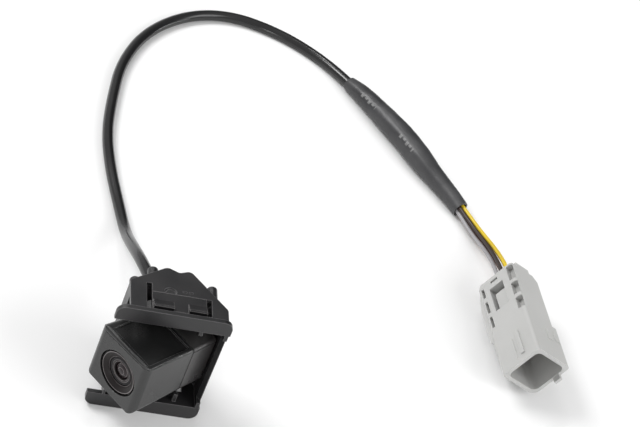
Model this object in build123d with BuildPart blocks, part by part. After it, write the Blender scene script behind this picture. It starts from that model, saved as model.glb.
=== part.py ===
"""Backup camera head on a snap-in panel bracket, with its cable, splice sleeve and connector.

Frame: +Z up, -Y out through the panel, origin under the middle of the head, millimetres.
The head stands on the lower edge of its flange, and the cord lies on the same surface.
"""
from build123d import *
from math import atan, cos, degrees, pi, radians, sin, tan
import os

os.makedirs("parts", exist_ok=True)

# ---- driving dimensions: bracket ----
bezel_x = 0.75            # middle of the flange
bezel_y = -8.0            # front face of the flange
flange_w = 48.0
flange_h = 61.0
flange_t = 2.0
flange_band = 7.4         # height of each flange strip seen from the front
flange_r = 4.0            # corner radius of the flange
wall = 1.6
wall_inset = 5.8          # flange edge to the outside of the box walls
box_left = -17.6          # outside of the left wall, from the middle of the flange
box_right = 23.4
left_wall_y = 21.3        # rear end of the left wall, behind the flange front
ridge_h = 1.6
boss_r = 2.25
boss_z = 50.6
corner_rounds = [(1, 0.8), (2, 3.0), (3, 2.4), (4, 2.6), (5, 2.6)]   # outline corner, radius

# ---- driving dimensions: snap tongues ----
tongue_x0, tongue_x1 = -8.6, 14.2
tongue_y0, tongue_y1 = 7.6, 16.8
slot_w = 2.2
slot_back = 4.4           # how far the left slot runs past the tongue's root
joint_gap = 0.12

# ---- driving dimensions: camera module ----
module_turn = 40.0        # degrees between the lens axis and the flange's normal plane
module_x, module_y, module_z = -17.1, -8.0, 30.5   # centre of the module's front face, from the flange
module_w = 27.2
module_r = 3.3            # long edges, apart from the one above the right-hand side
lid_r = 1.3               # edges along the top
front_side_r = 3.0        # upright edges of the front face
shell_wall = 1.8
front_len = 26.0
gasket_t = 0.5
module_len = 38.8
rear_end_w = 25.4         # width of the rear shell at its back; only its left side leans in
lid_rise = 2.1            # the top climbs this much from the seam to the front
left_grow = 1.9           # and the left side spreads this much
groove_drop = 1.7         # groove below the top, round the front and the right-hand side
groove_h = 0.6
groove_depth = 0.6
lip_w = 2.3               # raised edge in front of the sunk top panel
panel_left, panel_right, panel_s1 = -10.8, 11.6, 24.8
panel_sink = 0.8
front_wall = 3.6
recess_r = 10.3
recess_d = 2.6
back_wall_s = 44.4        # outside of the bracket's rear wall, behind the module's front face

# ---- driving dimensions: optics and boards ----
barrel_r = 6.0
barrel_bore = 5.2
corner_boss = 9.4        # shell screw bosses, from the lens axis
board_side = 21.0
board_t = 1.2
sensor_board_s = 20.0
power_board_s = 30.0
board_post = 9.0

# ---- driving dimensions: cord ----
cable_d = 5.2
wire_d = 1.9
boss_x = -1.5             # cable boss of the rear shell, from the middle of the flange
boss_y1 = 28.0
grommet_y1 = 38.0

cable_route = [
    (-0.75, 20.0, 30.5), (-0.75, 36.0, 30.5), (-4.4, 52.5, 26.5), (-6.0, 70.0, 17.0),
    (-6.2, 89.0, 5.3), (-8.2, 107.0, 2.6), (-12.2, 130.0, 2.6), (-14.0, 154.0, 2.6),
    (-11.2, 179.0, 2.6), (-6.8, 204.0, 2.6), (5.2, 229.0, 2.6), (25.8, 247.5, 2.6),
    (48.8, 254.0, 2.6), (72.8, 248.0, 2.6), (92.8, 236.0, 2.6), (108.0, 219.2, 3.8),
    (118.3, 204.5, 5.0),
]

wire_routes = {
    "wire_white": [(137.5, 170.3, 5.1), (147.7, 156.6, 4.4), (156.7, 142.2, 3.7),
                   (162.6, 128.5, 3.0), (167.3, 113.0, 7.7), (168.6, 95.8, 11.8), (169.9, 81.9, 12.7)],
    "wire_brown": [(139.7, 171.8, 3.2), (149.2, 157.6, 3.1), (158.1, 143.1, 2.5),
                   (164.9, 129.5, 2.2), (169.7, 113.5, 6.7), (172.1, 96.1, 11.6), (173.4, 82.2, 12.5)],
    "wire_black": [(138.3, 170.9, 8.3), (148.3, 157.1, 6.5), (157.2, 142.5, 5.6),
                   (163.9, 129.1, 5.4), (168.3, 113.2, 9.8), (170.0, 96.1, 14.5), (171.3, 82.2, 15.4)],
    "wire_yellow": [(141.1, 172.7, 8.3), (150.1, 158.2, 6.5), (158.9, 143.7, 5.6),
                    (165.8, 129.8, 5.7), (170.2, 113.6, 10.8), (171.4, 96.4, 17.1), (172.7, 82.5, 18.0)],
    "wire_orange": [(141.9, 173.3, 5.1), (151.2, 159.0, 4.4), (159.4, 144.0, 3.7),
                    (167.3, 130.4, 3.6), (171.7, 114.0, 8.8), (173.5, 96.4, 14.2), (174.8, 82.5, 15.1)],
}

# ---- driving dimensions: shrink sleeve ----
sleeve_start = (108.0, 219.1)
sleeve_angle = -56.6
sleeve_wall = 0.9
# along the sleeve, sideways, outer radius
sleeve_stations = [
    (0.0, 0.0, 3.7), (9.4, 0.7, 4.7), (20.8, 1.0, 5.3), (32.6, 1.1, 5.8), (43.6, 1.3, 6.0),
    (57.0, 0.5, 6.0), (68.8, 0.4, 5.2), (80.2, 0.6, 4.6), (91.0, 0.0, 4.2),
]
crimp_from, crimp_to = 42.0, 56.7
crimp_ring = 2.8
crimp_r, crimp_bore = 1.6, 1.15
lead_r = 0.6

# ---- driving dimensions: connector ----
conn_at = (172.1, 88.3, 14.2)
conn_axis = (0.0926, -0.9933, 0.0684)      # from the wire end to the mouth
conn_side = (0.4730, 0.1044, 0.8749)       # normal of its upper right face
conn_w = 21.0
conn_len = 54.5
conn_r = 1.6
conn_low_r = 4.2          # lower corner of the mouth
mouth_z = 31.0            # where the mouth part starts
rear_y = -8.6             # lower right face of the wire end
mouth_grow = 0.7          # lower faces of the mouth, past the square
socket_depth = 22.0
socket_w = 17.4
cavity_r = 1.3
cavities = {
    "wire_white": (-3.0, 1.6), "wire_black": (0.0, 1.6), "wire_yellow": (3.0, 1.6),
    "wire_orange": (1.5, -1.6), "wire_brown": (-1.5, -1.6),
}

# ---- frames worked out from them ----
turn = radians(module_turn)
out_dir = Vector(-cos(turn), -sin(turn), 0)
side_dir = Vector(sin(turn), -cos(turn), 0)
module_front = Plane(
    origin=(bezel_x + module_x, bezel_y + module_y, module_z),
    x_dir=tuple(side_dir),
    z_dir=tuple(out_dir),
)
conn = Plane(origin=conn_at, x_dir=conn_side, z_dir=conn_axis)
top_outer = flange_h - wall_inset
bottom_outer = wall_inset


def back(s):
    """Plane across the module, s behind its front face, facing out."""
    return module_front.offset(-s)


def finish(piece, name):
    """Label a finished piece and write it as a STEP file."""
    piece.part.label = name
    export_step(piece.part, f"parts/{name}.step")
    return piece


# ---- bracket ----
def box_outline(inside):
    """Corner points of the box seen from above, moved in by the given distance."""
    reach = module_x * cos(turn) + module_y * sin(turn) + back_wall_s - inside
    left = box_left + inside
    right = box_right - inside
    shift = inside * 1.15
    points = [
        (left, 0.0),
        (left, left_wall_y - inside * 0.5),
        (-1.8, 31.4 - shift),
        (3.3, 29.2 - inside),
        ((reach - (31.2 - inside) * sin(turn)) / cos(turn), 31.2 - inside),
        (right, (reach - right * cos(turn)) / sin(turn)),
        (right, 0.0),
    ]
    return [(bezel_x + x, bezel_y + y) for x, y in points]


def tongue_cut(z_mid):
    """Slots that free a snap tongue on three sides, cut through the wall at z_mid."""
    x0 = bezel_x + tongue_x0
    x1 = bezel_x + tongue_x1
    y0 = bezel_y + tongue_y0
    y1 = bezel_y + tongue_y1
    front_gap = 0.6
    with Locations((0, 0, z_mid)):
        with Locations(((x0 + x1) / 2, (y0 + y1) / 2, 0)):
            Box(x1 - x0 + 2 * joint_gap, y1 - y0 + 2 * joint_gap, 3 * wall, mode=Mode.SUBTRACT)
        with Locations(((x0 + x1) / 2, y0 - front_gap / 2, 0)):
            Box(x1 - x0, front_gap, 3 * wall, mode=Mode.SUBTRACT)
        with Locations((x0 - slot_w / 2, (y0 + y1 + slot_back) / 2, 0)):
            Box(slot_w, y1 - y0 + slot_back, 3 * wall, mode=Mode.SUBTRACT)
        with Locations((x1 + slot_w / 2, (y0 + y1) / 2, 0)):
            Box(slot_w, y1 - y0, 3 * wall, mode=Mode.SUBTRACT)


boss_places = [(-14.6, 20.0, 26.3), (-7.0, 24.0, 33.4), (18.0, 16.0, 27.6)]   # x, root y, end y
notch_y1 = 13.4
notch_z0 = 15.4
stop_h = 3.2              # part of the right wall that stays level with the flange
rib_x, rib_z = 12.7, 51.6
tie_boss_r = 3.0
bracket_screw_at = [(-6.5, 0.0), (6.5, 0.0)]

with BuildPart() as mounting_bracket:
    # box, closed behind and open to the front
    with BuildSketch(Plane.XY.offset(bottom_outer)) as box_sketch:
        with BuildLine():
            Polyline(*box_outline(0.0), close=True)
        make_face()
        for corner, radius in corner_rounds:
            at = box_outline(0.0)[corner]
            fillet(box_sketch.vertices().sort_by_distance((*at, bottom_outer))[0], radius)
    extrude(amount=top_outer - bottom_outer)
    with BuildSketch(Plane.XY.offset(bottom_outer + wall)):
        with BuildLine():
            Polyline(*box_outline(wall), close=True)
        make_face()
    extrude(amount=top_outer - bottom_outer - 2 * wall, mode=Mode.SUBTRACT)
    # flange strips above and below the mouth
    with BuildSketch(Plane.XZ.offset(-bezel_y)):
        with Locations((bezel_x, flange_h / 2)):
            RectangleRounded(flange_w, flange_h, flange_r)
            Rectangle(flange_w + 2, flange_h - 2 * flange_band, mode=Mode.SUBTRACT)
    extrude(amount=-flange_t)
    # mouth, through the front of the box
    with Locations((bezel_x + 0.8, bezel_y + 1.0, flange_h / 2)):
        Box(34.8, 4.0, flange_h - 2 * flange_band, mode=Mode.SUBTRACT)
    # right wall set back and slanted inwards between its two stops
    with BuildSketch(Plane.XY.offset(flange_band + stop_h)):
        with BuildLine():
            Polyline(
                (bezel_x + box_right - wall - 0.1, bezel_y - 0.1),
                (bezel_x + box_right + 0.1, bezel_y - 0.1),
                (bezel_x + box_right + 0.1, bezel_y + 1.4),
                (bezel_x + box_right - wall - 0.1, bezel_y + 4.0),
                close=True,
            )
        make_face()
    extrude(amount=flange_h - 2 * flange_band - 2 * stop_h, mode=Mode.SUBTRACT)
    # guide ribs just inside the mouth
    for z in (rib_z, flange_h - rib_z):
        with Locations((bezel_x + rib_x, bezel_y + 2.6, z)):
            Box(1.6, 1.4, 4.4)
    # notch that lets the module out through the left wall
    with Locations((bezel_x + box_left, bezel_y + notch_y1 / 2, (notch_z0 + flange_h - flange_band) / 2)):
        Box(4 * wall, notch_y1, flange_h - flange_band - notch_z0, mode=Mode.SUBTRACT)
    # cable way through the rear wall
    with Locations((bezel_x + boss_x, bezel_y + 30.0, module_z)):
        Box(13.0, 8.0, 16.0, mode=Mode.SUBTRACT)
    # snap tongues are freed from the walls above and below
    tongue_cut(top_outer - wall / 2)
    tongue_cut(bottom_outer + wall / 2)
    # round bosses on the rear walls
    for x, y0, y1 in boss_places:
        for z in (boss_z, flange_h - boss_z):
            with BuildSketch(Plane.XZ.offset(-(bezel_y + y0))):
                with Locations((bezel_x + x, z)):
                    Circle(boss_r)
            extrude(amount=-(y1 - y0))
    boss_ends = (
        mounting_bracket.edges().filter_by(GeomType.CIRCLE)
        .filter_by(lambda e: abs(e.radius - boss_r) < 0.01)
        .group_by(Axis.Y)
    )
    fillet(
        [e for group in boss_ends for e in group
         if any(abs(e.center().Y - (bezel_y + y1)) < 0.05 for _, _, y1 in boss_places)],
        0.9,
    )
    # tie bosses between the rear wall and the module
    with BuildSketch(back(module_len)):
        with Locations(*bracket_screw_at):
            Circle(tie_boss_r)
    extrude(amount=-(back_wall_s - wall / 2 - module_len))
    with BuildSketch(back(module_len - 1.0)):
        with Locations(*bracket_screw_at):
            Circle(1.15)
    extrude(amount=-(back_wall_s + 2.0 - module_len), mode=Mode.SUBTRACT)
    # moulder's mark: an arc and two dashes, sunk in the top wall
    with BuildSketch(Plane.XY.offset(top_outer - 0.5)):
        with Locations((bezel_x - 0.9, bezel_y + 17.4)):
            SlotArc(CenterArc((0, 0), 2.3, 10, 160, mode=Mode.PRIVATE), 0.8)
        with Locations((bezel_x + 5.2, bezel_y + 19.0), (bezel_x + 7.8, bezel_y + 19.0)):
            SlotOverall(1.8, 0.8)
    extrude(amount=1.0, mode=Mode.SUBTRACT)
finish(mounting_bracket, "mounting_bracket")


def snap_tongue(name, wall_outer, side):
    """A sprung tongue with two wedge ridges; side is 1 above and -1 below."""
    x0 = bezel_x + tongue_x0
    x1 = bezel_x + tongue_x1
    y0 = bezel_y + tongue_y0
    y1 = bezel_y + tongue_y1
    inner = wall_outer - side * wall
    outer = wall_outer
    ridge_top = wall_outer + side * ridge_h
    with BuildPart() as tongue:
        with BuildSketch(Plane.YZ.offset(x0)):
            with BuildLine():
                Polyline((y0, inner), (y1, inner), (y1, outer), (y0, outer), close=True)
            make_face()
        extrude(amount=x1 - x0)
        for lo, hi in ((0.5, 9.0), (15.2, x1 - x0)):
            with BuildSketch(Plane.YZ.offset(x0 + lo)):
                with BuildLine():
                    Polyline(
                        (y0, outer - side * 0.4), (y0, ridge_top), (y0 + 1.0, ridge_top),
                        (y0 + 1.5, outer + side * 0.8), (y0 + 2.3, outer + side * 0.8),
                        (y0 + 5.2, outer), (y0 + 5.2, outer - side * 0.4), close=True,
                    )
                make_face()
            extrude(amount=hi - lo)
    return finish(tongue, name)


snap_tongue("snap_tongue_upper", top_outer, 1)
snap_tongue("snap_tongue_lower", bottom_outer, -1)

with BuildPart() as bracket_screws:
    with BuildSketch(back(back_wall_s)):
        with Locations(*bracket_screw_at):
            Circle(2.1)
    extrude(amount=-1.5)
    fillet(bracket_screws.faces().sort_by(Axis((0, 0, 0), tuple(-out_dir)))[-2:].edges(), 0.6)
    with BuildSketch(back(back_wall_s)):
        with Locations(*bracket_screw_at):
            Circle(1.05)
    extrude(amount=back_wall_s - module_len + 4.0)
finish(bracket_screws, "bracket_screws")

# ---- camera shells ----
screw_corners = [(x, y) for x in (-corner_boss, corner_boss) for y in (-corner_boss, corner_boss)]
inner_w = module_w - 2 * shell_wall

across_plan = Plane(origin=module_front.origin, x_dir=side_dir, z_dir=(0, 0, 1))      # x across, y back
across_side = Plane(origin=module_front.origin, x_dir=-out_dir, z_dir=side_dir)       # x back, y up
half_w = module_w / 2


def module_section(width, shift=0.0, rise=0.0):
    """Outline across the module, with one tight corner between its top and right-hand side."""
    with BuildSketch(mode=Mode.PRIVATE) as section:
        with Locations((shift, rise / 2)):
            Rectangle(width, module_w + rise)
        tight = section.vertices().sort_by_distance((shift + width / 2, half_w + rise, 0))[0]
        wide = section.vertices().sort_by_distance((shift + width / 2, half_w + rise, 0))[1:]
        fillet(tight, lid_r)
        fillet([section.vertices().sort_by_distance(tuple(v))[0] for v in wide], module_r)
    return section.sketch


def groove(top, s0, s1, left=-half_w):
    """Cuts the groove that runs below the given top plane, round the front and right-hand side."""
    with BuildSketch(top.offset(-groove_drop - groove_h / 2), mode=Mode.PRIVATE) as ring_sketch:
        with Locations(((left + half_w + 1) / 2, (s0 + s1) / 2)):
            Rectangle(half_w + 1 - left, s1 - s0)
        with BuildSketch(mode=Mode.PRIVATE) as core:
            with Locations((half_w - groove_depth - 50, groove_depth + 50)):
                RectangleRounded(100, 100, front_side_r - groove_depth)
        add(core.sketch, mode=Mode.SUBTRACT)
    extrude(ring_sketch.sketch, amount=groove_h, mode=Mode.SUBTRACT)


front_left = -half_w - left_grow
front_top = half_w + lid_rise
lid_angle = degrees(atan(lid_rise / front_len))
lid_top = across_plan.offset(front_top).rotated((-lid_angle, 0, 0))
level_top = across_plan.offset(half_w)


def lid_height(s):
    """Height of the sloping top above the lens axis, s behind the front face."""
    return front_top - lid_rise * s / front_len


with BuildPart() as camera_front_shell:
    with BuildSketch(back(front_len)):
        add(module_section(module_w))
    with BuildSketch(back(0.0)):
        add(module_section(module_w + left_grow, -left_grow / 2, lid_rise))
    loft()
    # upright front edges, then the top front edge
    with BuildSketch(across_plan.offset(-module_w)) as plan_sketch:
        with BuildLine():
            Polyline(
                (front_left, 0), (half_w, 0), (half_w, 2 * front_len), (-half_w, 2 * front_len),
                (-half_w, front_len), close=True,
            )
        make_face()
        fillet([plan_sketch.vertices().sort_by_distance((x, 0, 0))[0] for x in (front_left, half_w)],
               front_side_r)
    extrude(amount=2 * module_w, mode=Mode.INTERSECT)
    with BuildSketch(across_side.offset(-module_w)) as side_sketch:
        with BuildLine():
            Polyline(
                (0, -module_w), (0, front_top), (front_len, half_w), (2 * front_len, half_w),
                (2 * front_len, -module_w), close=True,
            )
        make_face()
        fillet(side_sketch.vertices().sort_by_distance((0, front_top, 0))[0], lid_r)
    extrude(amount=2 * module_w, mode=Mode.INTERSECT)
    with BuildSketch(back(front_len)):
        RectangleRounded(inner_w, inner_w, module_r - shell_wall + 0.4)
    extrude(amount=front_len - front_wall, mode=Mode.SUBTRACT)
    # screw bosses in the corners, and posts for the sensor board
    with BuildSketch(back(front_len)):
        with Locations(*screw_corners):
            Circle(2.6)
    extrude(amount=12.0)
    with BuildSketch(back(sensor_board_s)):
        with Locations((-board_post, 0), (board_post, 0)):
            Circle(1.3)
    extrude(amount=sensor_board_s - front_wall)
    with BuildSketch(back(front_len)):
        with Locations(*screw_corners):
            Circle(0.9)
    extrude(amount=10.0, mode=Mode.SUBTRACT)
    with BuildSketch(back(sensor_board_s)):
        with Locations((-board_post, 0), (board_post, 0)):
            Circle(0.62)
    extrude(amount=5.0, mode=Mode.SUBTRACT)
    # lens recess and barrel hole
    with BuildSketch(back(recess_d)):
        Circle(recess_r)
    extrude(amount=recess_d, mode=Mode.SUBTRACT)
    with BuildSketch(back(front_len / 2)):
        Circle(barrel_r + 1.05)
    extrude(amount=front_len / 2, mode=Mode.SUBTRACT)
    # thin groove below the top, and a shallow panel sunk in the top
    groove(lid_top, -1.0, front_len + 2.0, front_left + 2.8)
    with BuildSketch(across_side.offset(panel_left)):
        with BuildLine():
            Polyline(
                (lip_w, lid_height(lip_w) - panel_sink), (panel_s1, lid_height(panel_s1) - panel_sink),
                (panel_s1, front_top + 1), (lip_w, front_top + 1), close=True,
            )
        make_face()
    extrude(amount=panel_right - panel_left, mode=Mode.SUBTRACT)
finish(camera_front_shell, "camera_front_shell")

rear_s0 = front_len + gasket_t
boss_mid = bezel_y + boss_y1

lean = (module_w - rear_end_w) / 2

with BuildPart() as shell_gasket:
    with BuildSketch(back(rear_s0)):
        RectangleRounded(module_w - 0.7, module_w - 0.7, module_r)
        RectangleRounded(inner_w + 0.4, inner_w + 0.4, module_r - shell_wall, mode=Mode.SUBTRACT)
    extrude(amount=gasket_t)
finish(shell_gasket, "shell_gasket")

with BuildPart() as camera_rear_shell:
    with BuildSketch(back(rear_s0)):
        add(module_section(module_w))
    with BuildSketch(back(module_len)):
        add(module_section(rear_end_w, lean))
    loft()
    # boss that carries the cable straight back
    with BuildSketch(Plane.XZ.offset(-boss_mid)):
        with Locations((bezel_x + boss_x, module_z)):
            Circle(5.2)
    extrude(amount=10.0)
    with BuildSketch(back(rear_s0)):
        Rectangle(2 * module_w, 2 * module_w)
    extrude(amount=front_len, mode=Mode.SUBTRACT)
    with BuildSketch(back(rear_s0)):
        RectangleRounded(inner_w, inner_w, module_r - shell_wall + 0.4)
    with BuildSketch(back(module_len - 2.2)):
        with Locations((lean, 0)):
            RectangleRounded(rear_end_w - 3.6, module_w - 3.6, 1.2)
    loft(mode=Mode.SUBTRACT)
    # screw bosses
    with BuildSketch(back(rear_s0)):
        with Locations(*screw_corners):
            Circle(2.0)
    extrude(amount=-(module_len - rear_s0 - 1.0))
    with BuildSketch(back(module_len)):
        with Locations(*bracket_screw_at):
            Circle(1.1)
    extrude(amount=4.4, mode=Mode.SUBTRACT)
    with BuildSketch(back(rear_s0)):
        with Locations(*screw_corners):
            Circle(1.05)
    extrude(amount=-(module_len - rear_s0 + 1), mode=Mode.SUBTRACT)
    # counterbores for the screw heads
    with BuildSketch(back(module_len)):
        with Locations(*screw_corners):
            Circle(1.75)
    extrude(amount=2.4, mode=Mode.SUBTRACT)
    # grommet bore
    with BuildSketch(Plane.XZ.offset(-boss_mid)):
        with Locations((bezel_x + boss_x, module_z)):
            Circle(3.9)
    extrude(amount=8.0, mode=Mode.SUBTRACT)
    groove(level_top, rear_s0 - 1.0, module_len + 1.0)
finish(camera_rear_shell, "camera_rear_shell")

# ---- optics, along the lens axis ----
def ring(name, s0, s1, outer, inner):
    """A plain ring about the lens axis, from s0 to s1 behind the front face."""
    with BuildPart() as piece:
        with BuildSketch(back(s1)):
            Circle(outer)
            Circle(inner, mode=Mode.SUBTRACT)
        extrude(amount=s1 - s0)
    return finish(piece, name)


def turned(name, *outline):
    """A solid turned about the lens axis, from (start, end, curved) edges in (radius, depth).

    A curved edge is part of a lens face, level where it meets the axis.
    """
    with BuildPart() as piece:
        with BuildSketch(Plane(origin=module_front.origin, x_dir=module_front.x_dir,
                               z_dir=module_front.y_dir)):
            with BuildLine():
                for start, end, curved in outline:
                    if curved:
                        on_axis, rim = sorted((start, end))
                        TangentArc(on_axis, rim, tangent=(1, 0))
                    else:
                        Line(start, end)
            make_face()
        revolve(axis=Axis(module_front.origin, out_dir))
    return finish(piece, name)


glass_r = 5.1
with BuildPart() as lens_trim_ring:
    # dished ring that fills the recess and leaves a dark joint around it
    with BuildSketch(Plane(origin=module_front.origin, x_dir=module_front.x_dir,
                           z_dir=module_front.y_dir)):
        with BuildLine():
            Polyline(
                (9.4, recess_d), (9.4, 0.5), (8.9, 0.35), (6.35, 1.75), (6.35, recess_d), close=True,
            )
        make_face()
    revolve(axis=Axis(module_front.origin, out_dir))
finish(lens_trim_ring, "lens_trim_ring")

with BuildPart() as lens_barrel:
    with BuildSketch(back(16.0)):
        Circle(barrel_r)
        Circle(barrel_bore, mode=Mode.SUBTRACT)
    extrude(amount=16.0 - recess_d + 0.7)
    with BuildSketch(back(5.2)):
        Circle(barrel_r + 0.9)
        Circle(barrel_r - 0.1, mode=Mode.SUBTRACT)
    extrude(amount=1.4)
finish(lens_barrel, "lens_barrel")

ring("lens_seal", 2.7, 3.75, barrel_r + 1.0, barrel_r + 0.05)
ring("lens_lock_ring", 2.1, 3.3, barrel_bore - 0.05, 3.85)
ring("lens_spacer", 5.35, 7.0, barrel_bore - 0.05, 4.1)

turned(
    "front_lens",
    ((0, 5.3), (glass_r, 5.3), False), ((glass_r, 5.3), (glass_r, 3.35), False),
    ((glass_r, 3.35), (3.7, 3.35), False), ((3.7, 3.35), (0, 1.85), True), ((0, 1.85), (0, 5.3), False),
)
turned(
    "middle_lens",
    ((0, 9.6), (glass_r, 9.0), True), ((glass_r, 9.0), (glass_r, 7.05), False),
    ((glass_r, 7.05), (3.9, 7.05), False), ((3.9, 7.05), (0, 7.4), True), ((0, 7.4), (0, 9.6), False),
)
turned(
    "rear_lens",
    ((0, 14.8), (4.4, 14.2), True), ((4.4, 14.2), (glass_r, 14.2), False),
    ((glass_r, 14.2), (glass_r, 10.2), False), ((glass_r, 10.2), (0, 10.2), False),
    ((0, 10.2), (0, 14.8), False),
)

# ---- boards ----
with BuildPart() as lens_holder:
    with BuildSketch(back(sensor_board_s)):
        RectangleRounded(15.0, 15.0, 1.5)
        Circle(barrel_r + 0.05, mode=Mode.SUBTRACT)
    extrude(amount=8.0)
    with BuildSketch(back(sensor_board_s)):
        Rectangle(10.0, 10.0)
    extrude(amount=3.2, mode=Mode.SUBTRACT)
finish(lens_holder, "lens_holder")

with BuildPart() as infrared_filter:
    with BuildSketch(back(17.4)):
        Circle(barrel_r - 0.1)
    extrude(amount=0.6)
finish(infrared_filter, "infrared_filter")


def board(name, s, holes):
    """A square circuit board with its corners cut round the screw bosses."""
    with BuildPart() as piece:
        with BuildSketch(back(s + board_t)):
            Rectangle(board_side, board_side)
            with Locations(*screw_corners):
                Circle(2.9, mode=Mode.SUBTRACT)
            if holes:
                with Locations((-board_post, 0), (board_post, 0)):
                    Circle(0.8, mode=Mode.SUBTRACT)
        extrude(amount=board_t)
    return finish(piece, name)


board("sensor_board", sensor_board_s, True)

with BuildPart() as power_board:
    with BuildSketch(back(power_board_s + board_t)):
        Rectangle(18.6, 18.6)
        with Locations(*screw_corners):
            Circle(2.5, mode=Mode.SUBTRACT)
    extrude(amount=board_t)
finish(power_board, "power_board")

with BuildPart() as image_sensor:
    with BuildSketch(back(sensor_board_s)):
        Rectangle(7.2, 6.4)
    extrude(amount=1.1)
    with BuildSketch(back(sensor_board_s - 1.1)):
        Rectangle(4.6, 3.6)
    extrude(amount=0.15)
finish(image_sensor, "image_sensor")

spacer_at = [(-7.0, -3.6), (-7.0, 3.6), (7.0, -3.6), (7.0, 3.6)]
with BuildPart() as board_spacers:
    with BuildSketch(back(power_board_s)):
        with Locations(*spacer_at):
            Circle(1.2)
    extrude(amount=power_board_s - sensor_board_s - board_t)
finish(board_spacers, "board_spacers")

with BuildPart() as board_header:
    with BuildSketch(back(power_board_s)):
        with Locations((0, -6.8)):
            Rectangle(9.0, 2.6)
    extrude(amount=power_board_s - sensor_board_s - board_t)
finish(board_header, "board_header")

with BuildPart() as shield_can:
    with BuildSketch(back(sensor_board_s + board_t + 3.0)):
        with Locations((0, 1.5)):
            RectangleRounded(10.0, 9.0, 0.6)
    extrude(amount=3.0)
    with BuildSketch(back(sensor_board_s + board_t + 2.7)):
        with Locations((0, 1.5)):
            Rectangle(9.4, 8.4)
    extrude(amount=2.7, mode=Mode.SUBTRACT)
finish(shield_can, "shield_can")

with BuildPart() as board_screws:
    with BuildSketch(back(sensor_board_s + board_t + 0.8)):
        with Locations((-board_post, 0), (board_post, 0)):
            Circle(1.2)
    extrude(amount=0.8)
    with BuildSketch(back(sensor_board_s + board_t)):
        with Locations((-board_post, 0), (board_post, 0)):
            Circle(0.6)
    extrude(amount=5.4)
finish(board_screws, "board_screws")

with BuildPart() as shell_screws:
    with BuildSketch(back(module_len - 0.9)):
        with Locations(*screw_corners):
            Circle(1.65)
    extrude(amount=1.5)
    with BuildSketch(back(module_len - 2.4)):
        with Locations(*screw_corners):
            Circle(0.85)
    extrude(amount=18.0)
finish(shell_screws, "shell_screws")

with BuildPart() as vent_membrane:
    with BuildSketch(back(module_len + 0.5)):
        with Locations((0, 6.2)):
            Circle(2.4)
    extrude(amount=0.5)
finish(vent_membrane, "vent_membrane")

with BuildPart() as inner_plug:
    with BuildSketch(back(power_board_s + board_t + 3.6)):
        with Locations((-3.0, -3.0)):
            Rectangle(9.4, 3.4)
    extrude(amount=3.6)
finish(inner_plug, "inner_plug")

# ---- cable and its grommet ----
def cord_radii(route):
    """Arc radius at each inner point: 0.45 of the shorter run over the tangent of half the turn."""
    points = [Vector(*p) for p in route]
    radii = []
    for before, here, after in zip(points, points[1:], points[2:]):
        run_in = here - before
        run_out = after - here
        half_turn = radians(run_in.get_angle(run_out)) / 2
        radii.append(0.45 * min(run_in.length, run_out.length) / tan(half_turn))
    return radii


def cord(name, route, diameter):
    """A round cord along straight runs joined by tangent arcs."""
    radii = cord_radii(route)
    with BuildPart() as piece:
        with BuildLine() as path:
            FilletPolyline(*route, radius=radii)
        length = path.wires()[0].length
        with BuildSketch(Plane(origin=path.line @ 0, z_dir=path.line % 0)):
            Circle(diameter / 2)
        sweep()
    section = pi * diameter ** 2 / 4
    print(name, "length", round(length, 1), "volume ratio", round(piece.part.volume / section / length, 4),
          "radii", [round(r) for r in radii])
    return finish(piece, name)


with BuildPart() as cable_grommet:
    with BuildSketch(Plane.XZ.offset(-(boss_mid + 2.2))):
        with Locations((bezel_x + boss_x, module_z)):
            Circle(5.0)
    extrude(amount=2.2)
    with BuildSketch(Plane.XZ.offset(-(boss_mid + 2.2))):
        with Locations((bezel_x + boss_x, module_z)):
            Circle(4.3)
    with BuildSketch(Plane.XZ.offset(-(bezel_y + grommet_y1))):
        with Locations((bezel_x + boss_x, module_z)):
            Circle(3.4)
    loft()
    with BuildSketch(Plane.XZ.offset(-boss_mid)):
        with Locations((bezel_x + boss_x, module_z)):
            Circle(3.85)
    extrude(amount=5.5)
    with BuildSketch(Plane.XZ.offset(-(bezel_y + grommet_y1 + 1))):
        with Locations((bezel_x + boss_x, module_z)):
            Circle(cable_d / 2 + 0.25)
    extrude(amount=22.0, mode=Mode.SUBTRACT)
    # rings that make the relief flexible
    for y in (3.6, 5.4, 7.2):
        with BuildSketch(Plane.XZ.offset(-(boss_mid + y + 0.7))):
            with Locations((bezel_x + boss_x, module_z)):
                Circle(5.0)
                Circle(3.35, mode=Mode.SUBTRACT)
        extrude(amount=0.7, mode=Mode.SUBTRACT)
finish(cable_grommet, "cable_grommet")

cord("cable", cable_route, cable_d)

plug_z = 27.6
with BuildPart() as inner_leads:
    for k in range(5):
        up = (k - 2) * 1.05
        with BuildLine() as lead_path:
            FilletPolyline(
                (-0.75, 19.8, module_z + up), (-0.75, 12.6, module_z + up), (4.3, 11.9, plug_z + up),
                radius=3.0,
            )
        with BuildSketch(Plane(origin=lead_path.line @ 0, z_dir=lead_path.line % 0)):
            Circle(0.45)
        sweep()
finish(inner_leads, "inner_leads")

# ---- shrink sleeve over the splices ----
ahead = Vector(cos(radians(sleeve_angle)), sin(radians(sleeve_angle)), 0)
across = Vector(-ahead.Y, ahead.X, 0)


def sleeve_plane(s, sideways, height):
    """Plane across the sleeve, s along it."""
    at = Vector(*sleeve_start) + ahead * s + across * sideways + Vector(0, 0, height)
    return Plane(origin=at, z_dir=ahead)


with BuildPart() as splice_sleeve:
    for s, sideways, radius in sleeve_stations:
        with BuildSketch(sleeve_plane(s, sideways, radius)):
            Circle(radius)
    loft()
    for s, sideways, radius in sleeve_stations:
        with BuildSketch(sleeve_plane(s, sideways, radius)):
            Circle(radius - sleeve_wall + (0.15 if s == 0 else 0))
    loft(mode=Mode.SUBTRACT)
finish(splice_sleeve, "splice_sleeve")

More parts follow.
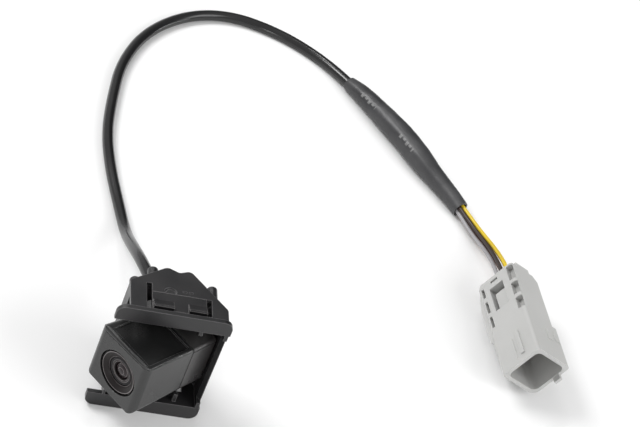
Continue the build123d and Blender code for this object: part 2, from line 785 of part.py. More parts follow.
splice_angles = {
    "wire_white": 198, "wire_brown": 270, "wire_orange": 342, "wire_yellow": 54, "wire_black": 126,
}


def splice_spot(s, sideways, height, ring_radius, angle):
    """A place on the ring of splices, s along the sleeve."""
    sideways += ring_radius * cos(radians(angle))
    height += ring_radius * sin(radians(angle))
    return Vector(*sleeve_start) + ahead * s + across * sideways + Vector(0, 0, height)


with BuildPart() as splice_crimps:
    for angle in splice_angles.values():
        near = splice_spot(crimp_from, 1.2, 6.0, crimp_ring, angle)
        far = splice_spot(crimp_to, 0.5, 6.0, crimp_ring, angle)
        with BuildSketch(Plane(origin=near, z_dir=far - near)):
            Circle(crimp_r)
            Circle(crimp_bore, mode=Mode.SUBTRACT)
        extrude(amount=(far - near).length)
finish(splice_crimps, "splice_crimps")

with BuildPart() as splice_leads:
    for angle in splice_angles.values():
        near = splice_spot(18.8, 0.9, 5.0, 1.6, angle)
        far = splice_spot(crimp_from + 3.0, 1.1, 6.0, crimp_ring, angle)
        with BuildSketch(Plane(origin=near, z_dir=far - near)):
            Circle(lead_r)
        extrude(amount=(far - near).length)
        bare_from = splice_spot(crimp_to - 4.0, 0.6, 6.0, crimp_ring, angle)
        bare_to = splice_spot(crimp_to + 0.1, 0.5, 6.0, crimp_ring, angle)
        with BuildSketch(Plane(origin=bare_from, z_dir=bare_to - bare_from)):
            Circle(lead_r)
        extrude(amount=(bare_to - bare_from).length)
finish(splice_leads, "splice_leads")

for wire_name, wire_route in wire_routes.items():
    cord(wire_name, wire_route, wire_d)


# ---- connector ----
def conn_z(z):
    """Plane across the connector, z from its wire end."""
    return conn.offset(z)


def conn_top_view(y):
    """Plane along the connector at y, with its x across and its own y towards the wire end."""
    return Plane(origin=conn.origin + conn.y_dir * y, x_dir=conn.x_dir, z_dir=conn.y_dir)


def conn_side_view(x):
    """Plane along the connector at x, with the connector's y across and z upwards."""
    return Plane(origin=conn.origin + conn.x_dir * x, x_dir=conn.y_dir, z_dir=conn.x_dir)


half = conn_w / 2
top_ladder = [(0.9, 9.4), (11.2, 18.4), (20.4, 27.2)]
side_ladder = [(3.0, 8.4), (11.2, 18.0), (20.4, 27.0)]
pocket_x0, pocket_x1 = -4.5, 3.4
pocket_z0, pocket_z1 = 5.8, 19.6
pocket_floor = 3.6


def conn_box(x0, x1, y0, y1, z0, z1, mode=Mode.ADD):
    """A block in the connector's own frame."""
    with BuildSketch(conn_z(z0), mode=Mode.PRIVATE) as section:
        with Locations(((x0 + x1) / 2, (y0 + y1) / 2)):
            Rectangle(x1 - x0, y1 - y0)
    return extrude(section.sketch, amount=z1 - z0, mode=mode)


def mouth_section(high, low, radius, low_radius):
    """A square that reaches high and low, with one broad corner on its low side."""
    with BuildSketch(mode=Mode.PRIVATE) as section:
        with Locations(((high - low) / 2, (high - low) / 2)):
            Rectangle(high + low, high + low)
        corners = section.vertices().sort_by_distance((-low, -low, 0))
        fillet(corners[0], low_radius)
        fillet([section.vertices().sort_by_distance(tuple(v))[0] for v in corners[1:]], radius)
    return section.sketch


with BuildPart() as connector_housing:
    with BuildSketch(conn_z(0)):
        with Locations((0, (half + rear_y) / 2)):
            RectangleRounded(conn_w, half - rear_y, conn_r)
    extrude(amount=mouth_z)
    # slanted cuts across two edges of the wire end
    with BuildSketch(conn_side_view(-half - 1)):
        with BuildLine():
            Polyline((rear_y - 0.1, 4.1), (rear_y - 0.1, -0.1), (rear_y + 4.0, -0.1), close=True)
        make_face()
    extrude(amount=conn_w + 2, mode=Mode.SUBTRACT)
    with BuildSketch(conn_top_view(-half - 1)):
        with BuildLine():
            Polyline((-half - 0.1, -2.4), (-half - 0.1, 0.1), (-half + 2.2, 0.1), close=True)
        make_face()
    extrude(amount=conn_w + 2, mode=Mode.SUBTRACT)
    # the wall above the wires stands a little further back
    conn_box(6.6, half, -2.4, 6.4, -2.2, 1.0)
    # mouth part, wider on its lower sides, with a broad round below
    with BuildSketch(conn_z(mouth_z)):
        add(mouth_section(half, half + mouth_grow, conn_r, conn_low_r))
    extrude(amount=conn_len - mouth_z)
    # socket for the mating plug
    with BuildSketch(conn_z(conn_len - socket_depth)):
        add(mouth_section(socket_w / 2, socket_w / 2 + mouth_grow, 2.6, conn_low_r - 0.9))
    extrude(amount=socket_depth, mode=Mode.SUBTRACT)
    # wire and terminal cavities
    with BuildSketch(conn_z(0)):
        with Locations(*cavities.values()):
            Circle(cavity_r)
    extrude(amount=conn_len, mode=Mode.SUBTRACT)
    # window ladders along two edges, and the key slot between them
    for z0, z1 in top_ladder:
        conn_box(6.9, 10.3, half - 3.2, half + 1, z0, z1, Mode.SUBTRACT)
    for z0, z1 in side_ladder:
        conn_box(-8.8, -7.3, half - 3.2, half + 1, z0, z1, Mode.SUBTRACT)
    conn_box(-2.9, 1.2, half - 2.0, half + 1, 1.9, 3.2, Mode.SUBTRACT)
    # pocket for the terminal retainer
    conn_box(pocket_x0, pocket_x1, pocket_floor, half + 1, pocket_z0, pocket_z1, Mode.SUBTRACT)
    # ramp rib near the mouth and guide ribs on the right-hand face
    conn_box(1.4, 3.3, half - 0.2, half + 0.7, 38.0, 51.0)
    conn_box(-1.4, -0.9, half - 0.2, half + 0.35, 40.0, 52.0)
    conn_box(half - 0.2, half + 0.4, -3.4, -0.9, 36.5, 42.0)
    conn_box(half - 0.2, half + 0.4, -8.6, -6.4, 35.0, 41.0)
    # tab that stands out of the rim, below its right-hand corner
    conn_box(1.5, 5.0, -half - mouth_grow, -half + 0.9, conn_len - 1.0, conn_len + 2.9)
    # mounting-clip rail on the hidden face
    conn_box(-half - 2.2, -half + 0.2, -5.0, 4.0, 20.0, 46.0)
    conn_box(-half - 3.4, -half - 2.2, -6.0, 4.6, 20.0, 46.0)
    # wing beside the rail, along the left edge
    with BuildSketch(conn_top_view(4.0)):
        with BuildLine():
            Polyline(
                (-half + 0.3, -3.0), (-half - 0.9, -7.0), (-half - 1.9, -14.0), (-half - 1.9, -33.0),
                (-half - 0.9, -33.4), (-half - 0.6, -37.0), (-half + 0.3, -38.0), close=True,
            )
        make_face()
    extrude(amount=5.6)
finish(connector_housing, "connector_housing")

with BuildPart() as terminal_retainer:
    conn_box(-2.9, 3.1, pocket_floor + 0.15, half - 1.2, 9.6, pocket_z1 - 0.15)
finish(terminal_retainer, "terminal_retainer")

with BuildPart() as pin_terminals:
    for x, y in cavities.values():
        with BuildSketch(conn_z(6.6)):
            with Locations((x, y)):
                Circle(1.15)
        extrude(amount=5.0)
        conn_box(x - 0.8, x + 0.8, y - 0.8, y + 0.8, 11.6, 30.0)
        conn_box(x - 0.4, x + 0.4, y - 0.4, y + 0.4, 30.0, 40.0)
finish(pin_terminals, "pin_terminals")
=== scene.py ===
"""Looks for a backup camera in its snap-in bracket, with its cable, sleeve, wires and connector.

Blender works in metres, in the CAD frame: +Z up, -Y out through the panel. The object's and the
camera's sizes and places are in millimetres here, and those of the floor and lights in metres.
"""

import math

import bmesh
import bpy
from mathutils import Matrix, Vector, noise


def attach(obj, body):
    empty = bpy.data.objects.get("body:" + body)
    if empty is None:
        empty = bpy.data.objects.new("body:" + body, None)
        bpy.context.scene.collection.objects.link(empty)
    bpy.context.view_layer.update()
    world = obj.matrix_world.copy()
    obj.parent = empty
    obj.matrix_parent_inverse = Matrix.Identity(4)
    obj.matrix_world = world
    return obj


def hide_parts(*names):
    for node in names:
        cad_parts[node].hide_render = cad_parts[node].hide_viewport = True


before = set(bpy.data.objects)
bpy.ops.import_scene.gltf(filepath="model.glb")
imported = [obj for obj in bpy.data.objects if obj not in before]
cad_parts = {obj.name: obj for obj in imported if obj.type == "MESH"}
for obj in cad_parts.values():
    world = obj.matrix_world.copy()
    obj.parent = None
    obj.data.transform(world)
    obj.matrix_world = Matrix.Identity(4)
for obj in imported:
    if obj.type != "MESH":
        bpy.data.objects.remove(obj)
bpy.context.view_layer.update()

MM = 0.001
BODY = "camera_and_cord"

# ---- dimensions repeated from the CAD source, in millimetres ----
cable_d = 5.2
wire_d = 1.9
cable_route = [
    (-0.75, 20.0, 30.5), (-0.75, 36.0, 30.5), (-4.4, 52.5, 26.5), (-6.0, 70.0, 17.0),
    (-6.2, 89.0, 5.3), (-8.2, 107.0, 2.6), (-12.2, 130.0, 2.6), (-14.0, 154.0, 2.6),
    (-11.2, 179.0, 2.6), (-6.8, 204.0, 2.6), (5.2, 229.0, 2.6), (25.8, 247.5, 2.6),
    (48.8, 254.0, 2.6), (72.8, 248.0, 2.6), (92.8, 236.0, 2.6), (108.0, 219.2, 3.8),
    (118.3, 204.5, 5.0),
]
wire_routes = {
    "wire_white": [(137.5, 170.3, 5.1), (147.7, 156.6, 4.4), (156.7, 142.2, 3.7),
                   (162.6, 128.5, 3.0), (167.3, 113.0, 7.7), (168.6, 95.8, 11.8), (169.9, 81.9, 12.7)],
    "wire_brown": [(139.7, 171.8, 3.2), (149.2, 157.6, 3.1), (158.1, 143.1, 2.5),
                   (164.9, 129.5, 2.2), (169.7, 113.5, 6.7), (172.1, 96.1, 11.6), (173.4, 82.2, 12.5)],
    "wire_black": [(138.3, 170.9, 8.3), (148.3, 157.1, 6.5), (157.2, 142.5, 5.6),
                   (163.9, 129.1, 5.4), (168.3, 113.2, 9.8), (170.0, 96.1, 14.5), (171.3, 82.2, 15.4)],
    "wire_yellow": [(141.1, 172.7, 8.3), (150.1, 158.2, 6.5), (158.9, 143.7, 5.6),
                    (165.8, 129.8, 5.7), (170.2, 113.6, 10.8), (171.4, 96.4, 17.1), (172.7, 82.5, 18.0)],
    "wire_orange": [(141.9, 173.3, 5.1), (151.2, 159.0, 4.4), (159.4, 144.0, 3.7),
                    (167.3, 130.4, 3.6), (171.7, 114.0, 8.8), (173.5, 96.4, 14.2), (174.8, 82.5, 15.1)],
}
sleeve_start = (108.0, 219.1)
sleeve_angle = math.radians(-56.6)
# each station: distance along the sleeve, sideways offset of its middle, radius
sleeve_stations = [
    (0.0, 0.0, 3.7), (9.4, 0.7, 4.7), (20.8, 1.0, 5.3), (32.6, 1.1, 5.8), (43.6, 1.3, 6.0),
    (57.0, 0.5, 6.0), (68.8, 0.4, 5.2), (80.2, 0.6, 4.6), (91.0, 0.0, 4.2),
]
sleeve_wall = 0.9
module_turn = math.radians(40.0)
lens_centre = (-16.35, -16.0, 30.5)

# ---- camera placement ----
camera_place = (-196.14, -652.06, 747.54)
camera_right = (0.95233, -0.06083, 0.29894)
camera_toward = (-0.25463, -0.69819, 0.6691)
focal_length = 135.25
sensor_width = 36.0


def mm(x, y, z):
    """A point given in millimetres."""
    return Vector((x, y, z)) * MM


# ---- camera ----
def make_camera():
    """The camera, at the viewing angle of the photograph."""
    data = bpy.data.cameras.new("camera")
    data.sensor_width = sensor_width
    data.lens = focal_length
    data.clip_start = 0.02
    data.clip_end = 20.0
    camera = bpy.data.objects.new("camera", data)
    right = Vector(camera_right).normalized()
    toward = Vector(camera_toward).normalized()
    up = toward.cross(right)
    turned = Matrix((right, up, toward)).transposed().to_4x4()
    camera.matrix_world = Matrix.Translation(mm(*camera_place)) @ turned
    bpy.context.scene.collection.objects.link(camera)
    bpy.context.scene.camera = camera


make_camera()


# ---- node helpers ----
class Shader:
    """A material's node tree, with short calls for the nodes used here."""

    def __init__(self, name):
        self.material = bpy.data.materials.new(name)
        self.material.use_nodes = True
        self.tree = self.material.node_tree
        self.bsdf = self.tree.nodes["Principled BSDF"]
        self.coords = self.add("ShaderNodeTexCoord").outputs["Object"]

    def add(self, kind, **values):
        """A node, with attributes and input values set by name."""
        node = self.tree.nodes.new(kind)
        for key, value in values.items():
            if hasattr(node, key):
                setattr(node, key, value)
            else:
                node.inputs[key.replace("_", " ")].default_value = value
        return node

    def link(self, output, target):
        """Joins an output socket to an input socket."""
        self.tree.links.new(output, target)

    def noise(self, scale, detail):
        """A noise pattern in object space."""
        node = self.add("ShaderNodeTexNoise", Scale=scale, Detail=detail)
        self.link(self.coords, node.inputs["Vector"])
        return node.outputs["Fac"]

    def spread(self, value, low, high, to_low=0.0, to_high=1.0):
        """Maps a value from one range to another."""
        node = self.add("ShaderNodeMapRange")
        self.link(value, node.inputs["Value"])
        limits = {"From Min": low, "From Max": high, "To Min": to_low, "To Max": to_high}
        for key, number in limits.items():
            node.inputs[key].default_value = number
        return node.outputs["Result"]

    def mix(self, factor, first, second):
        """A colour between two colours, each a colour or another node's output."""
        node = self.add("ShaderNodeMix", data_type="RGBA")
        self.link(factor, node.inputs["Factor"])
        colour_a, colour_b = node.inputs[6], node.inputs[7]
        for socket, value in ((colour_a, first), (colour_b, second)):
            if isinstance(value, tuple):
                socket.default_value = (*value, 1.0)
            else:
                self.link(value, socket)
        return node.outputs[2]

    def set(self, **values):
        """Values of the shader's own sockets."""
        for key, value in values.items():
            self.bsdf.inputs[key.replace("_", " ")].default_value = value

    def surface(self, colour, roughness, relief, depth, normal=None):
        """Joins a colour, a roughness and a relief, whose depth is in millimetres, to the shader."""
        bump = self.add("ShaderNodeBump", Distance=depth * MM)
        self.link(relief, bump.inputs["Height"])
        if normal is not None:
            self.link(normal, bump.inputs["Normal"])
        self.link(colour, self.bsdf.inputs["Base Color"])
        self.link(roughness, self.bsdf.inputs["Roughness"])
        self.link(bump.outputs["Normal"], self.bsdf.inputs["Normal"])


def plastic(name, base, shade, rough, edge=None, bevel=0.3, grain=2600.0, bump=0.02, mottle=70.0,
            rough_spread=0.08, **sockets):
    """A moulded plastic: mottled colour, fine grain, softened edges, and a lighter edge colour that is a
    painted highlight.
    """
    shader = Shader(name)
    shader.set(**sockets)
    broad = shader.noise(mottle, 4.0)
    fine = shader.noise(grain, 2.0)
    colour = shader.mix(shader.spread(broad, 0.35, 0.65), base, shade)
    soft = shader.add("ShaderNodeBevel", samples=6, Radius=bevel * MM).outputs["Normal"]
    # the edge colour is a painted highlight, laid where the softened normal turns away from the true one
    if edge:
        geometry = shader.add("ShaderNodeNewGeometry")
        facing = shader.add("ShaderNodeVectorMath", operation="DOT_PRODUCT")
        shader.link(soft, facing.inputs[0])
        shader.link(geometry.outputs["Normal"], facing.inputs[1])
        edge_highlight_mask = shader.spread(facing.outputs["Value"], 0.995, 0.88)
        colour = shader.mix(edge_highlight_mask, colour, edge)
    roughness = shader.spread(broad, 0.3, 0.7, rough - rough_spread, rough + rough_spread)
    shader.surface(colour, roughness, fine, bump, soft)
    return shader.material


def metal(name, base, shade, rough):
    """A metal with fine marks."""
    shader = Shader(name)
    shader.set(Metallic=1.0)
    marks = shader.noise(1800.0, 4.0)
    colour = shader.mix(shader.spread(marks, 0.3, 0.7), base, shade)
    roughness = shader.spread(marks, 0.3, 0.7, rough - 0.06, rough + 0.08)
    shader.surface(colour, roughness, marks, 0.006)
    return shader.material


def jacket(name, base, shade, rough, bump, coat):
    """A cord's jacket: glossy, with faint waves and rubbed patches."""
    shader = Shader(name)
    shader.set(Coat_Weight=coat, Coat_Roughness=0.12)
    broad = shader.noise(55.0, 4.0)
    fine = shader.noise(900.0, 3.0)
    colour = shader.mix(shader.spread(broad, 0.35, 0.65), base, shade)
    roughness = shader.spread(broad, 0.3, 0.7, rough - 0.05, rough + 0.08)
    shader.surface(colour, roughness, fine, bump)
    return shader.material


def glass(name, tint, coat, ior):
    """Optical glass, with faint dust."""
    shader = Shader(name)
    shader.set(Transmission_Weight=1.0, IOR=ior, Coat_Weight=coat, Coat_Roughness=0.02)
    dust = shader.noise(900.0, 5.0)
    dusty = tuple(0.92 * channel for channel in tint)
    colour = shader.mix(shader.spread(dust, 0.45, 0.75), tint, dusty)
    shader.link(colour, shader.bsdf.inputs["Base Color"])
    shader.link(shader.spread(dust, 0.4, 0.8, 0.02, 0.07), shader.bsdf.inputs["Roughness"])
    return shader.material


# ---- materials: two mottled colours, a roughness, and the colour of painted edge highlights ----
black = plastic("bracket_plastic", (0.0125, 0.0125, 0.0135), (0.018, 0.017, 0.018), 0.36,
                edge=(0.15, 0.148, 0.15), bevel=0.4, bump=0.03)
# same black as the bracket, with a lighter edge colour: a stronger painted highlight along the snap ridges
tongue_black = plastic("tongue_plastic", (0.0125, 0.0125, 0.0135), (0.018, 0.017, 0.018), 0.32,
                       edge=(0.24, 0.23, 0.23), bevel=0.3, bump=0.02)
# the rear shell is the same black plastic as the front shell, drawn lighter: painted light on its flank
rear_shell_lightened = plastic("rear_shell_painted_light", (0.034, 0.033, 0.033), (0.042, 0.04, 0.04), 0.3,
                     edge=(0.075, 0.075, 0.076), bevel=0.3, bump=0.008, rough_spread=0.04)
shell_black = plastic("shell_plastic", (0.013, 0.0135, 0.0135), (0.017, 0.017, 0.017), 0.25,
                      edge=(0.13, 0.13, 0.13), bevel=0.4, bump=0.008, rough_spread=0.04)
trim_brown = plastic("trim_plastic", (0.007, 0.0048, 0.0048), (0.01, 0.007, 0.007), 0.42,
                     bevel=0.1, bump=0.006, Specular_IOR_Level=0.22)
# a lighter colour for bands of the lens trim and lock ring: painted highlights
trim_highlight = plastic("painted_trim_highlight", (0.15, 0.135, 0.135), (0.18, 0.165, 0.165), 0.3,
                    bevel=0.05, bump=0.004)
rubber = plastic("rubber", (0.018, 0.018, 0.018), (0.024, 0.024, 0.024), 0.62, bevel=0.2, bump=0.04)
board_green = plastic("circuit_board", (0.012, 0.09, 0.035), (0.02, 0.12, 0.05), 0.35, bevel=0.05,
                      grain=1500.0, bump=0.03)
package_black = plastic("sensor_package", (0.02, 0.02, 0.022), (0.03, 0.03, 0.033), 0.5, bevel=0.05)
film_white = plastic("membrane", (0.6, 0.6, 0.58), (0.7, 0.7, 0.68), 0.8, bevel=0.05, bump=0.05)
natural_white = plastic("white_plastic", (0.62, 0.6, 0.55), (0.68, 0.66, 0.61), 0.4, bevel=0.12)
connector_grey = plastic("connector_plastic", (0.43, 0.43, 0.42), (0.46, 0.46, 0.45), 0.42,
                         edge=(0.56, 0.56, 0.545), bevel=0.25, bump=0.015, mottle=40.0,
                         Subsurface_Weight=0.12, Subsurface_Radius=(0.002, 0.0019, 0.0017),
                         Subsurface_Scale=1.0)
steel = metal("steel", (0.55, 0.55, 0.56), (0.42, 0.42, 0.44), 0.3)
tin = metal("tinned_steel", (0.66, 0.66, 0.67), (0.55, 0.55, 0.56), 0.28)
brass = metal("brass", (0.66, 0.5, 0.26), (0.52, 0.38, 0.18), 0.3)
anodised = metal("barrel_metal", (0.035, 0.033, 0.035), (0.025, 0.024, 0.025), 0.38)
cable_black = jacket("cable_jacket", (0.009, 0.009, 0.0095), (0.013, 0.013, 0.0135), 0.17,
                     bump=0.008, coat=0.0)
lens_glass = glass("lens_glass", (0.9, 0.93, 1.0), coat=0.0, ior=1.38)
# opaque dark colour of the front lens: partly the coating's tint, partly painted shade of the lens's inside
coated_lens_shade = plastic("lens_coating_and_painted_shade", (0.016, 0.011, 0.012), (0.022, 0.015, 0.017), 0.16,
                      bevel=0.02, bump=0.0, rough_spread=0.03, Specular_IOR_Level=0.35)
# colour of the thin rings on the front lens: painted highlights on the rims of the elements behind it
lens_rim_highlight = plastic("painted_lens_rim_highlight", (0.15, 0.125, 0.13), (0.18, 0.155, 0.16), 0.3,
                    bevel=0.02, bump=0.0)
ring_brown = plastic("lock_ring_plastic", (0.009, 0.0065, 0.0065), (0.012, 0.009, 0.009), 0.42,
                     bevel=0.05, bump=0.004, Specular_IOR_Level=0.22)
filter_glass = glass("filter_glass", (0.5, 0.8, 0.85), coat=0.6, ior=1.5)
# the broad lighter patches of this mottle are painted soft highlights
sleeve_grey = plastic("sleeve_plastic", (0.028, 0.028, 0.03), (0.052, 0.052, 0.054), 0.42,
                      bevel=0.1, grain=1400.0, bump=0.04, mottle=45.0)
sleeve_print = plastic("sleeve_print", (0.13, 0.13, 0.13), (0.2, 0.2, 0.2), 0.5,
                       bevel=0.05, grain=1400.0, bump=0.05, mottle=900.0)
wire_colours = {
    "wire_white": ((0.29, 0.28, 0.29), (0.36, 0.35, 0.36)),
    "wire_black": ((0.022, 0.012, 0.009), (0.034, 0.019, 0.014)),
    "wire_brown": ((0.085, 0.03, 0.018), (0.11, 0.042, 0.026)),
    "wire_orange": ((0.4, 0.13, 0.015), (0.46, 0.17, 0.02)),
    "wire_yellow": ((0.62, 0.43, 0.012), (0.7, 0.51, 0.02)),
}


# ---- cords ----
def cord_curve(name, route, diameter, material):
    """A cord as a smooth spline with the route's points as its control points."""
    data = bpy.data.curves.new(name, "CURVE")
    data.dimensions = "3D"
    data.resolution_u = 24
    data.bevel_depth = diameter / 2 * MM
    data.bevel_resolution = 8
    data.use_fill_caps = True
    spline = data.splines.new("NURBS")
    spline.points.add(len(route) - 1)
    for point, place in zip(spline.points, route):
        point.co = (*mm(*place), 1.0)
    spline.order_u = 3
    spline.use_endpoint_u = True
    data.materials.append(material)
    piece = bpy.data.objects.new(name, data)
    bpy.context.scene.collection.objects.link(piece)
    return piece


def finished(piece, node):
    """Attaches a piece to its body and hides the CAD node it stands for."""
    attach(piece, BODY)
    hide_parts(node)
    return piece


cable_curve = cord_curve("cable_skin", cable_route, cable_d, cable_black)
cable = finished(cable_curve, "cable")
for wire, (base, shade) in wire_colours.items():
    insulation = jacket(wire, base, shade, 0.42, bump=0.02, coat=0.08)
    wire_curve = cord_curve(wire + "_skin", wire_routes[wire], wire_d, insulation)
    finished(wire_curve, wire)


# ---- mesh helpers ----
def mesh_piece(name, verts, faces, materials, smooth_angle=32.0, marked=()):
    """A mesh object with outward normals, smooth under an angle in degrees.

    The marked faces take the second material.
    """
    mesh = bpy.data.meshes.new(name)
    mesh.from_pydata([tuple(v) for v in verts], [], faces)
    for index in marked:
        mesh.polygons[index].material_index = 1
    work = bmesh.new()
    work.from_mesh(mesh)
    bmesh.ops.recalc_face_normals(work, faces=work.faces)
    work.to_mesh(mesh)
    work.free()
    for material in materials:
        mesh.materials.append(material)
    mesh.shade_smooth()
    mesh.set_sharp_from_angle(angle=math.radians(smooth_angle))
    piece = bpy.data.objects.new(name, mesh)
    bpy.context.scene.collection.objects.link(piece)
    return piece


# the lens axis, and the directions across it
out_dir = Vector((-math.cos(module_turn), -math.sin(module_turn), 0.0))
side_dir = Vector((math.sin(module_turn), -math.cos(module_turn), 0.0))
up_dir = Vector((0.0, 0.0, 1.0))


def on_lens(x, y, s):
    """A point across the lens axis, s behind the camera's front face."""
    return mm(*lens_centre) + (side_dir * x + up_dir * y - out_dir * s) * MM


def lathe(name, profile, materials, highlight_spans, closed=True):
    """A piece turned about the lens axis from (radius, depth) points.

    A band whose middle radius lies in one of the highlight spans takes the second material, a painted
    highlight. A closed profile is joined from its last point to its first, and an open one starts and ends
    on the axis.
    """
    steps = 128
    smooth_angle = 40.0
    verts = []
    rows = []
    marked = []
    for radius, s in profile:
        count = steps if radius > 0 else 1
        rows.append((len(verts), count))
        for k in range(count):
            angle = 2 * math.pi * k / steps
            verts.append(on_lens(radius * math.cos(angle), radius * math.sin(angle), s))
    faces = []
    pairs = list(zip(rows, rows[1:]))
    if closed:
        pairs.append((rows[-1], rows[0]))
    loop = profile + profile[:1]
    for band, ((first, first_count), (second, second_count)) in enumerate(pairs):
        middle = (loop[band][0] + loop[band + 1][0]) / 2
        if any(low < middle < high for low, high in highlight_spans):
            marked += range(len(faces), len(faces) + steps)
        for here in range(steps):
            after = (here + 1) % steps
            if first_count > 1 and second_count > 1:
                faces.append((first + here, first + after, second + after, second + here))
            elif first_count > 1:
                faces.append((first + here, first + after, second))
            elif second_count > 1:
                faces.append((first, second + after, second + here))
    return mesh_piece(name, verts, faces, materials, smooth_angle, marked)


# ---- lens ----
trim_profile = [
    (9.4, 2.55), (9.4, 0.62), (9.3, 0.48), (9.12, 0.4), (8.95, 0.44), (8.8, 0.56), (7.7, 1.02),
    (6.75, 1.55), (6.66, 1.74), (6.5, 1.74), (6.4, 1.62), (6.35, 1.74), (6.35, 2.55),
]
# the outer lip and inner rim bands take the lighter colour: painted highlights
trim = lathe("lens_trim_face", trim_profile, [trim_brown, trim_highlight], [(9.0, 9.22), (6.45, 6.7)])
finished(trim, "lens_trim_ring")

lock_ring_profile = [
    (5.17, 2.5), (5.17, 2.2), (5.07, 2.08), (4.85, 2.08), (4.78, 2.2), (4.5, 2.2), (4.42, 2.08),
    (4.32, 2.03), (4.24, 2.08), (4.2, 2.2), (4.1, 2.36), (3.9, 2.42), (3.87, 3.27), (5.17, 3.27),
]
# two bands on the ring's edges take the lighter colour: painted highlights
lock_ring = lathe("lens_lock_ring_face", lock_ring_profile, [ring_brown, trim_highlight],
                  [(4.9, 5.0), (4.22, 4.42)])
finished(lock_ring, "lens_lock_ring")


def dome(radius, top, rim):
    """Profile points of a spherical cap from its top on the axis to its rim."""
    steps = 24
    height = rim - top
    curve = (radius ** 2 + height ** 2) / (2 * height)
    points = []
    for k in range(steps + 1):
        r = radius * k / steps
        points.append((r, top + curve - math.sqrt(curve ** 2 - r ** 2)))
    return points


# dark coated glass drawn opaque, its dark colour partly the coating's tint and partly painted shade of the
# lens's inside, with thin lighter rings that are painted highlights on the rims of the elements behind it
front_profile = dome(3.7, 1.85, 3.35) + [(5.05, 3.35), (5.05, 4.1), (0.0, 4.1)]
front_glass = lathe("front_lens_glass", front_profile, [coated_lens_shade, lens_rim_highlight],
                    [(1.6, 1.75), (2.9, 3.06)], closed=False)
finished(front_glass, "front_lens")


# ---- shrink sleeve ----
ahead = Vector((math.cos(sleeve_angle), math.sin(sleeve_angle), 0.0))
across = Vector((-ahead.y, ahead.x, 0.0))
sleeve_length = sleeve_stations[-1][0]

# columns of a sleeve station
OFFSET = 1
RADIUS = 2


def smooth_between(s, column):
    """A sleeve station's value at s, on a smooth curve through the stations."""
    rows = sleeve_stations
    last = len(rows) - 2
    k = next(k for k in range(last + 1) if s <= rows[k + 1][0] or k == last)
    before, here, after, beyond = rows[max(k - 1, 0)], rows[k], rows[k + 1], rows[min(k + 2, last + 1)]
    span = after[0] - here[0]
    t = (s - here[0]) / span
    slope_here = (after[column] - before[column]) / (after[0] - before[0]) * span
    slope_after = (beyond[column] - here[column]) / (beyond[0] - here[0]) * span
    values = (2 * t ** 3 - 3 * t ** 2 + 1) * here[column] + (3 * t ** 2 - 2 * t ** 3) * after[column]
    slopes = (t ** 3 - 2 * t ** 2 + t) * slope_here + (t ** 3 - t ** 2) * slope_after
    return values + slopes


def bell(x, centre, width):
    """A smooth bump of height one."""
    return math.exp(-((x - centre) / width) ** 2)


def sleeve_point(s, angle, depth):
    """A point on the sleeve at a depth under its skin, with lumps over the splices and shrink marks."""
    inset = 0.12
    above_floor = 0.05
    lobes = 0.14 * math.cos(5 * angle + 0.6) * bell(s, 49.0, 14.0)
    twist = 0.05 * math.cos(2 * angle + s * 0.12)
    crumple = 0.12 * noise.noise(Vector((s * 0.22, math.cos(angle) * 1.3, math.sin(angle) * 1.3)))
    ends = 0.12 * bell(s, 0.0, 1.2) + 0.1 * bell(s, sleeve_length, 1.2)
    radius = smooth_between(s, RADIUS)
    skin = radius - inset + lobes + twist + crumple - ends - depth
    middle = mm(*sleeve_start, radius + above_floor) + (ahead * s + across * smooth_between(s, OFFSET)) * MM
    return middle + (across * math.cos(angle) + up_dir * math.sin(angle)) * skin * MM


def printed(s, angle):
    """Whether a spot on the sleeve lies under one of its plain printed marks.

    The marks stand in two groups along the sleeve, and every other mark is taller.
    """
    first_mark, groups_end = 12.0, 60.0
    group_pitch, group_length = 31.0, 11.0
    mark_pitch, mark_width = 2.6, 1.5
    marks_angle, low, short, high = 140.0, -7.0, 3.0, 11.0
    along = (s - first_mark) % group_pitch
    in_mark = along < group_length and along % mark_pitch < mark_width and s < groups_end
    row = math.degrees(angle) - marks_angle
    tall = along % (2 * mark_pitch) < mark_pitch
    return in_mark and low < row < (high if tall else short)


def make_sleeve():
    """The shrink sleeve as one closed wall, open at both ends."""
    rings, around = 240, 96
    wall = sleeve_wall - 0.1
    smooth_angle = 50.0
    verts = []
    faces = []
    marked = []
    outer = [sleeve_length * k / rings for k in range(rings + 1)]
    for depth, stations in ((0.0, outer), (wall, outer[::-1])):
        for s in stations:
            for k in range(around):
                verts.append(sleeve_point(s, 2 * math.pi * k / around, depth))
    rows = 2 * (rings + 1)
    for row in range(rows):
        here = row * around
        after = (row + 1) % rows * around
        for k in range(around):
            beside = (k + 1) % around
            if row < rings and printed(outer[row], 2 * math.pi * (k + 0.5) / around):
                marked.append(len(faces))
            faces.append((here + k, here + beside, after + beside, after + k))
    return mesh_piece("sleeve_skin", verts, faces, [sleeve_grey, sleeve_print], smooth_angle, marked)


sleeve = finished(make_sleeve(), "splice_sleeve")

# ---- materials of the CAD pieces that stay ----
node_materials = {
    "mounting_bracket": black, "snap_tongue_upper": tongue_black, "snap_tongue_lower": tongue_black,
    "camera_front_shell": shell_black, "camera_rear_shell": rear_shell_lightened, "shell_gasket": rubber,
    "lens_barrel": anodised, "lens_seal": rubber, "lens_spacer": anodised, "middle_lens": lens_glass,
    "rear_lens": lens_glass, "lens_holder": black, "infrared_filter": filter_glass,
    "sensor_board": board_green, "power_board": board_green,
    "image_sensor": package_black, "board_spacers": brass, "board_header": package_black,
    "shield_can": tin, "board_screws": steel, "shell_screws": steel, "bracket_screws": steel,
    "vent_membrane": film_white, "inner_plug": natural_white, "inner_leads": cable_black,
    "cable_grommet": rubber, "splice_crimps": brass, "splice_leads": cable_black,
    "connector_housing": connector_grey, "terminal_retainer": connector_grey, "pin_terminals": brass,
}
for node, material in node_materials.items():
    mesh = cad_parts[node].data
    mesh.materials.clear()
    mesh.materials.append(material)


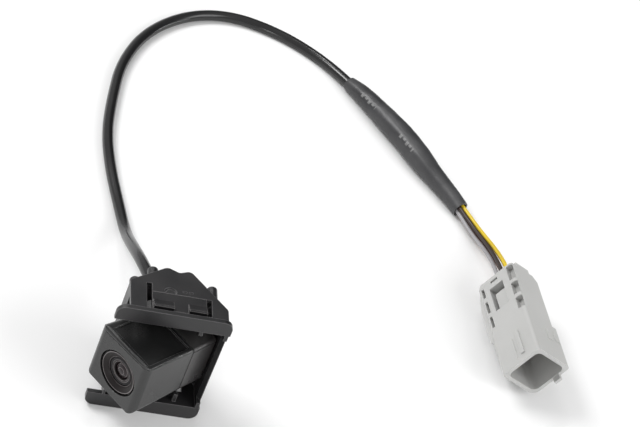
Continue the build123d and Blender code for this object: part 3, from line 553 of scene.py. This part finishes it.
# ---- floor and light ----
def make_floor():
    """A plain pale floor."""
    half = 3.0
    corners = [(-half, -half, 0.0), (half, -half, 0.0), (half, half, 0.0), (-half, half, 0.0)]
    shader = Shader("floor")
    shader.set(Roughness=0.75, Specular_IOR_Level=0.2)
    grain = shader.noise(8.0, 2.0)
    shader.link(shader.mix(grain, (0.86, 0.86, 0.86), (0.88, 0.88, 0.88)), shader.bsdf.inputs["Base Color"])
    floor = mesh_piece("floor", corners, [(0, 1, 2, 3)], [shader.material])


def area_light(name, place, aim, size, power):
    """A soft rectangular light turned towards a point, in metres and watts."""
    data = bpy.data.lights.new(name, "AREA")
    data.shape = "RECTANGLE"
    data.size, data.size_y = size
    data.energy = power
    light = bpy.data.objects.new(name, data)
    light.location = place
    light.rotation_mode = "QUATERNION"
    light.rotation_quaternion = (Vector(place) - Vector(aim)).to_track_quat("Z", "Y")
    bpy.context.scene.collection.objects.link(light)


def make_world():
    """Pale all round, and darker behind the object, where the glossy cable mirrors it."""
    world = bpy.data.worlds.new("studio")
    world.use_nodes = True
    tree = world.node_tree
    background = tree.nodes["Background"]
    background.inputs["Strength"].default_value = 1.0
    direction = tree.nodes.new("ShaderNodeTexCoord")
    toward_dark = tree.nodes.new("ShaderNodeVectorMath")
    toward_dark.operation = "DOT_PRODUCT"
    toward_dark.inputs[1].default_value = Vector((0.75, 0.62, 0.22)).normalized()
    fade = tree.nodes.new("ShaderNodeMapRange")
    fade.interpolation_type = "SMOOTHSTEP"
    for key, number in {"From Min": 0.5, "From Max": 0.9, "To Min": 0.62, "To Max": 0.04}.items():
        fade.inputs[key].default_value = number
    tree.links.new(direction.outputs["Generated"], toward_dark.inputs[0])
    tree.links.new(toward_dark.outputs["Value"], fade.inputs["Value"])
    tree.links.new(fade.outputs["Result"], background.inputs["Color"])
    bpy.context.scene.world = world


make_floor()
area_light("key", (-0.7, 0.45, 0.95), (0.05, 0.05, 0.0), (0.5, 0.5), 9.0)
area_light("fill", (0.9, -0.5, 0.8), (0.05, 0.05, 0.0), (0.8, 0.8), 7.0)
area_light("front", (-0.4, -0.95, 0.22), (-0.02, -0.02, 0.03), (0.22, 0.16), 1.6)
area_light("strip", (-0.1, 0.65, 1.0), (0.09, 0.23, 0.0), (0.3, 0.04), 1.2)
area_light("side_strip", (1.1, 0.02, 0.1), (0.0, 0.2, 0.0), (0.6, 0.04), 1.6)
make_world()
bpy.context.scene.view_settings.view_transform = "Standard"
